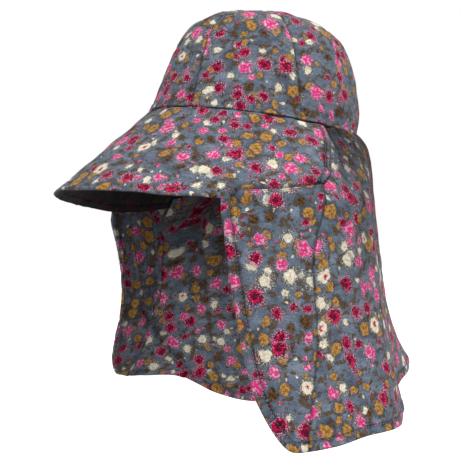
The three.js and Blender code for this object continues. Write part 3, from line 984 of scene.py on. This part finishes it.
def sideSeam(fallShare, isLeft, trimSign):
    # station of the seam between side and back panel, counted from that side's front edge
    station = curve(sideSeamTable, "fall", "station", fallShare)
    here = drapePoint(fromLeft(station, isLeft), fallShare)
    width = np.linalg.norm(here - drapePoint(fromLeft(station + 0.05, isLeft), fallShare), axis=-1)
    return station + trimSign * flap["gap"] / 2 * 0.05 / width


def fromLeft(station, isLeft):
    return station if isLeft else lastStation - station


def turnAt(station):
    return curve(drapeTable, "station", "turn", station)


def sideGrid(isLeft):
    # dense rows: a few over the brim's band, then the fall, about 0.5 mm apart
    shares = stops(150, 64, edgeSteps, fineSteps)
    corner = flap["topCorner"]
    topSeam = sideSeam(np.array(0.0), isLeft, -1)
    rows = []
    for across in np.linspace(bandStart, 1, 18)[:-1]:
        down = (across - bandStart) * slantLength
        setBack = corner - math.sqrt(corner**2 - max(corner - down, 0) ** 2)
        inset = setBack / flap["stationWidth"] / topSeam
        turn = turnAt(fromLeft((shares + inset * (1 - shares)) * topSeam, isLeft))
        level = np.full_like(turn, across)
        rows.append(slopePoint(turn, level, brim["cloth"]) + slopeNormal(turn, level) * standOff)
    bend = len(rows)
    for fall in np.linspace(0, 1, 401):
        inCorner = np.maximum(1 - shares / flap["cornerWidth"], 0)
        fallShare = fall * (1 - flap["cornerFall"][isLeft] * (1 - np.sqrt(1 - inCorner**2)))
        rows.append(drapePoint(fromLeft(shares * sideSeam(fallShare, isLeft, -1), isLeft), fallShare))
    held = 1 - smooth((1 - shares) * 70, 3, 16)
    grid = fairColumns(np.array(rows), bend, 5, held)
    along = lengths(grid[:, 40])
    topSteps = fineSteps[:-1] + [2.8, 3.6, 4.6, 6, 7.5, 9, 10.5, 12, 14]
    grid = resample(grid, along, stops(along[-1], 88, topSteps, edgeSteps))
    return grid if isLeft else grid[:, ::-1]


# a fold in the right side of the flap, running down and back to the hem
foldLine = np.array([
    (-150, -52, -172), (-154, -43, -183), (-162, -32, -194), (-169, -19, -208),
    (-171, -11, -217), (-172, -3, -227), (-170.5, 5, -236), (-169, 12, -245),
], float)


def dimTop(grid):
    # painted shade on the inner face, deeper towards the brim
    return flap["dim"] * (1 - smooth(-grid[..., 2], 75, 185))


def farFold(grid):
    # height of that fold, and painted shade along its crease and on its lower side
    near = away(grid, foldLine)
    lineY = np.interp(-grid[..., 2], -foldLine[:, 2], foldLine[:, 1])
    signed = np.where(grid[..., 1] > lineY, near, -near)
    height = 2.6 * lineAt(signed - 1.5, 5) - 1.8 * lineAt(signed + 5, 5)
    return height, 1.1 * lineAt(signed, 1.5) + 0.45 * lineAt(signed - 4, 4)


def sidePanel(name, isLeft, seed):
    grid = sideGrid(isLeft)
    flat = layFlat(grid, 4)
    front, seam = (flat[:, 0], flat[:, -1]) if isLeft else (flat[:, -1], flat[:, 0])
    free = [front, flat[-1]] if isLeft else [flat[-1], front[::-1]]
    freeEdge = np.concatenate([free[0], free[1][1:]])  # down the front and along the hem
    fromFree, fromSeam, fromTop = away(flat, freeEdge), away(flat, seam), away(flat, flat[0])
    u, v = flat[..., 0], flat[..., 1]
    lift = bumps(flat, flap["wrinkle"], 24, 60, seed) * smooth(fromTop, 9, 30)
    lift = lift + bumps(flat, 0.40, 9, 15, seed + 1)
    folded = wrinkles(u / 15, v / 52, seed + 11) + 0.8 * wrinkles(u / 26, v / 21 + 4, seed + 21)
    lift = lift - flap["crease"] * folded * smooth(fromTop, 6, 14)
    nearTop = np.exp(-np.maximum(fromTop - 9, 0) / 12) * smooth(fromTop, 3, 9)
    lift = lift + bumps(flat, 0.55, 6, 17, seed + 2) * nearTop
    lift = lift - 1.5 * lineAt(fromTop - 15, 5) * (0.75 + bumps(flat, 0.35, 9, 30, seed + 6))
    nearHem = np.exp(-np.abs(fromFree - flap["hem"]) / 4)
    lift = lift + 0.7 * np.sin(np.pi * clamp01(fromFree / flap["hem"])) ** 0.7
    lift = lift + (bumps(flat, 0.45, 4.6, 11, seed + 3) + bumps(flat, 0.45, 11, 4.6, seed + 4)) * nearHem
    lift = lift + bumps(flat, 0.45, 11, 5.2, seed + 5) * np.exp(-np.abs(fromSeam - 4) / 5)
    foldHeight, foldDepth = farFold(grid)
    lift = (lift + foldHeight) * smooth(fromSeam, 0.5, 9.0) - 1.3 * (1 - clamp01(fromSeam / 1.8)) ** 2
    grid = grid + gridNormals(grid) * lift[..., None]
    inHem = 1 - smooth(fromFree, flap["hem"] - 0.3, flap["hem"] + 0.8)
    inTop = 1 - smooth(fromTop, 5.5, 7.5)
    thick = flap["cloth"] + flap["hemExtra"] * np.maximum(inHem, inTop)
    dip = lineAt(fromFree - flap["hem"], 0.9) + lineAt(fromTop - flap["topHem"], 0.7)
    thick = thick - 0.8 * np.minimum(dip, 1.2)
    # painted shade along the hem and top stitch lines, in the side seam, in the creases and along the fold
    crease = 0.75 * lineAt(fromFree - flap["hem"] - 0.5, 1.6) + 0.5 * lineAt(fromTop - flap["topHem"], 0.7)
    # painted shade in an uneven band beside the hem's raised edge
    hemShade = 0.35 * (0.5 + bumps(flat, 0.5, 5, 5, seed + 8))
    crease = crease + hemShade * lineAt(fromFree - flap["hem"] - 2.5, 3.0)
    crease = crease + 0.95 * lineAt(fromSeam, 1.3) + 0.16 * folded + foldDepth
    edge = np.minimum(np.minimum(fromFree, fromSeam + 0.6), fromTop)
    thick = thick * roundedEdge(edge, 1.1)
    piece, outer = clothShell(name, grid, thick, flat, (seed * 41.0, seed * 23.0), crease, dimTop(grid))
    lines = [insideLine(freeEdge, -flap["hem"], 3, 2), insideLine(flat[0], flap["topHem"], 2, 2)]
    seams = stitchRows("stitches_" + name[6:], outer, flat, lines)
    return piece, seams, flat


def backPanel():
    # dense rows down the slope behind the brim, then the fall
    shares = stops(420, 210, fineSteps, fineSteps)
    tuckFrom = turnAt(sideSeam(np.array(0.0), True, 1))
    rows = []
    for across in np.linspace(0, flap["backEnd"], 150):
        start = lerp(flap["tuckTurn"], tuckFrom, across)
        turn = lerp(start, 360 - start, shares)
        tuck = clamp01((flap["tuckEnd"] - fold(turn)) / flap["tuckBlend"]) * standOff
        level = np.full_like(turn, across)
        rows.append(slopePoint(turn, level, flap["cloth"]) - slopeNormal(turn, level) * tuck[:, None])
    bend = len(rows)
    for fall in np.linspace(0, 1, 401):
        level = np.full_like(shares, fall)
        start, end = sideSeam(level, True, 1), lastStation - sideSeam(level, False, 1)
        rows.append(drapePoint(lerp(start, end, shares), level))
    held = 1 - smooth(np.minimum(shares, 1 - shares) * 420, 3, 16)
    grid = fairColumns(np.array(rows), bend, 9, held)
    along = lengths(grid[:, grid.shape[1] // 2])
    return resample(grid, along, stops(along[-1], 128, fineSteps, edgeSteps)), shares


def seamTape(name, isLeft):
    # strip of cloth sewn over a side seam on its inner face, wider where the brim ends
    wide = np.linspace(-1, 1, 15)
    topStation = sideSeam(np.array(0.0), isLeft, 0)
    rows = []
    for across in np.linspace(0.84, 1, 26)[:-1]:
        turn = turnAt(fromLeft(topStation + wide * flap["tapeTop"] / flap["stationWidth"], isLeft))
        level = np.full_like(turn, across)
        inwards = slopeNormal(turn, level) * (standOff + flap["tapeIn"])
        rows.append(slopePoint(turn, level, brim["cloth"]) - inwards)
    bend = len(rows)
    below = []
    for fall in np.linspace(0, 1 - flap["hem"] / 210, 330):
        half = lerp(flap["tapeTop"], flap["tape"], smooth(fall, 0.02, 0.16))
        level = np.full_like(wide, fall)
        station = sideSeam(level, isLeft, 0) + wide * half / flap["stationWidth"]
        below.append(drapePoint(fromLeft(station, isLeft), level))
    below = np.array(below)
    inward = gridNormals(below) * (1 if isLeft else -1)
    grid = np.concatenate([np.array(rows), below - inward * flap["tapeIn"]])
    grid = fairColumns(grid, bend, 7, np.zeros(len(wide)))
    grid = resample(grid, lengths(grid[:, 7]), stops(1, 150, [0, 0.003], [0, 0.003]))
    grid = grid if isLeft else grid[:, ::-1]
    flat = layFlat(grid, 3)
    edge = np.minimum(away(flat, flat[:, 0]), away(flat, flat[:, -1]))
    thick = flap["tapeCloth"] * roundedEdge(edge, 0.5)
    # painted shade along its edges, and deeper painted shade towards the brim
    return clothShell(name, grid, thick, flat, (77.0, 940.0), 0.5 * lineAt(edge, 0.5), dimTop(grid))[0]


panels = []
for panelName, isLeft, seed in (("cloth_flap_left", True, 511), ("cloth_flap_right", False, 533)):
    panel, panelStitches, panelFlat = sidePanel(panelName, isLeft, seed)
    finishPiece(panel, flapPrint, "flap_cloth", panelName[6:])
    finishPiece(panelStitches, cotton, "flap_cloth")
    tape = seamTape("cloth_tape_" + panelName[11:], isLeft)
    finishPiece(tape, flapPrint, "flap_cloth")
    panels.append((panel, [panelStitches, tape], panelFlat))
    print(panelName, "cut", np.ptp(panelFlat.reshape(-1, 2), axis=0).round(1), "mm")

backSmooth, backShares = backPanel()
backFlat = layFlat(backSmooth, 4)
fromTop, fromHem = away(backFlat, backFlat[0]), away(backFlat, backFlat[-1])
fromSeam = np.minimum(away(backFlat, backFlat[:, 0]), away(backFlat, backFlat[:, -1]))
u, v = backFlat[..., 0], backFlat[..., 1]
seamArc = np.broadcast_to(backShares * flap["seamLength"], u.shape)  # mm along the crown seam
phase = seamArc / flap["gatherWidth"] + 0.35 * softNoise(seamArc / 21, fromTop / 60, 600)
phase = phase + 0.2 * softNoise(seamArc / 9, fromTop / 25, 601)
ridges = 2 * np.abs(np.sin(np.pi * phase)) ** 0.7 - 1
strength = 0.9 + 0.35 * softNoise(seamArc / 12, fromTop / 45 + 3, 602)
strength = strength * smooth(seamArc, 7, 16) * smooth(flap["seamLength"] - seamArc, 7, 16)
lift = flap["gather"] * ridges * strength * np.exp(-fromTop / 60) * smooth(fromTop, 0.0, 3.0)
billow = 1.4 * softNoise(seamArc / 15, fromTop / 110, 603)
lift = lift + billow * smooth(fromTop, 8, 40) * np.exp(-fromTop / 90)
lift = lift + bumps(backFlat, flap["wrinkle"], 26, 60, 604)
lift = lift + bumps(backFlat, 0.40, 9, 15, 605)
folded = wrinkles(u / 15, v / 52, 611) + 0.8 * wrinkles(u / 26, v / 21 + 4, 621)
lift = lift - flap["crease"] * folded * smooth(fromTop, 6, 14)
lift = lift + bumps(backFlat, 0.45, 4.6, 11, 606) * np.exp(-np.abs(fromHem - flap["hem"]) / 4)
lift = lift + bumps(backFlat, 0.35, 11, 5.2, 607) * np.exp(-fromSeam / 5)
foldHeight, foldDepth = farFold(backSmooth)
lift = (lift + foldHeight) * smooth(fromTop, 0.0, 2.0) * smooth(fromSeam, 0.5, 9.0)
lift = lift - 1.3 * (1 - clamp01(fromSeam / 1.8)) ** 2 * smooth(fromTop, 60, 80)
backGrid = backSmooth + gridNormals(backSmooth) * lift[..., None]
inHem = 1 - smooth(fromHem, flap["hem"] - 0.3, flap["hem"] + 0.8)
dip = lineAt(fromHem - flap["hem"], 0.9)
backThick = flap["cloth"] + flap["hemExtra"] * inHem - 0.8 * dip
# painted shade along the hem stitches, in the side seams, along the crown seam at the top, in the creases and
# along the fold
backCrease = 0.75 * lineAt(fromHem - flap["hem"] - 0.5, 1.6) + 0.95 * lineAt(fromSeam, 1.3)
backCrease = backCrease + 0.7 * lineAt(fromTop, 0.8) + 0.16 * folded + foldDepth
# painted shade in the valleys between the gathers
backCrease = backCrease + 0.75 * clamp01(-ridges) * strength * np.exp(-fromTop / 55)
backThick = backThick * roundedEdge(np.minimum(np.minimum(fromTop, fromHem), fromSeam + 0.6), 1.1)
pleatDepth = clamp01(strength * np.exp(-((fromTop / 95) ** 2)))
pleats = {"pleatCount": phase + 3, "pleatDepth": pleatDepth}
back, backOuter = clothShell(
    "cloth_flap_back", backGrid, backThick, backFlat, (517.0, 888.0), backCrease, dimTop(backSmooth), pleats
)
finishPiece(back, flapPrint, "flap_cloth", "flap_back")
backLines = [insideLine(backFlat[-1], -flap["hem"], 2, 2)]
backStitches = stitchRows("stitches_flap_back", backOuter, backFlat, backLines)
finishPiece(backStitches, cotton, "flap_cloth")


def cutSize(flat):
    # width, length and area of the flat cut, in metres
    width, length = np.ptp(flat.reshape(-1, 2), axis=0) * mm
    area = np.abs(cells(flat)).sum() * mm * mm
    return (float(width), float(length)), float(area)


for panel, sewnOn, panelFlat in panels:
    size, area = cutSize(panelFlat)
size, area = cutSize(backFlat)
print("flap made")

# Studio: pale floor below the hem, one soft sun from above and a lower one from the front
studio = {
    "floorHeight": -0.46,
    "floorSize": 40.0,
    "floorGlow": 0.45,
    "above": 0.46,  # light from above, from the sides and from below
    "level": 0.56,
    "below": 0.32,
    "backdrop": 1.0,  # how bright the empty background shows
    "spread": 36.0,  # size of both suns in degrees, for soft shadows
    "keyPower": 1.92,
    "keyFrom": (0.45, 0.45, 0.77),
    "frontPower": 1.42,
    "frontFrom": (0.58, -0.82, 0.14),
}
bpy.ops.mesh.primitive_plane_add(size=studio["floorSize"], location=(0, 0, studio["floorHeight"]))
floor = bpy.context.object
floor.name = "floor"
floor.visible_diffuse = False  # keeps the floor from lighting the shaded underside
pale, paleNodes = newMaterial("paleFloor")
paleNodes.surface({
    "Base Color": (0.95, 0.95, 0.95, 1),
    "Roughness": 0.9,
    "Specular IOR Level": 0.1,
    "Emission Color": (1, 1, 1, 1),
    "Emission Strength": studio["floorGlow"],
})
floor.data.materials.append(pale)

world = bpy.data.worlds.new("studio")
bpy.context.scene.world = world
world.use_nodes = True
world.node_tree.nodes.clear()
sky = Nodes(world.node_tree)
_, _, rise = sky.parts(sky.out(sky.node("ShaderNodeTexCoord"), "Generated"))
soft = sky.step(rise, -0.08, 0.10) * (studio["level"] - studio["below"]) + studio["below"]
soft = sky.step(rise, 0.0, 0.8) * (studio["above"] - studio["level"]) + soft
seen = sky.out(sky.node("ShaderNodeLightPath"), "Is Camera Ray")
strength = soft + seen * (soft * -1.0 + studio["backdrop"])
shell = sky.node("ShaderNodeBackground", None, {"Color": (1, 1, 1, 1), "Strength": strength})
world.node_tree.links.new(shell.outputs[0], sky.node("ShaderNodeOutputWorld").inputs[0])


def softSun(name, power, comesFrom):
    data = bpy.data.lights.new(name, "SUN")
    data.energy, data.angle = power, math.radians(studio["spread"])
    sun = bpy.data.objects.new(name, data)
    sun.rotation_euler = (-Vector(comesFrom)).to_track_quat("-Z", "Y").to_euler()
    bpy.context.scene.collection.objects.link(sun)


softSun("keyLight", studio["keyPower"], studio["keyFrom"])
softSun("frontLight", studio["frontPower"], studio["frontFrom"])

camera = {
    "place": (0.8288, -0.4645, -0.1150),
    "aim": (-0.0099, -0.0185, -0.0968),
    "lens": 79.42,
    "sensor": 36.0,
}
lensData = bpy.data.cameras.new("camera")
lensData.lens, lensData.sensor_width = camera["lens"], camera["sensor"]
lensData.sensor_fit = "HORIZONTAL"
lensData.clip_start, lensData.clip_end = 0.05, 60
lensData.dof.use_dof = False
view = bpy.data.objects.new("camera", lensData)
view.location = camera["place"]
view.rotation_euler = (Vector(camera["aim"]) - Vector(camera["place"])).to_track_quat("-Z", "Y").to_euler()
bpy.context.scene.collection.objects.link(view)
bpy.context.scene.camera = view
bpy.context.scene.view_settings.view_transform = "Standard"
print("studio made")
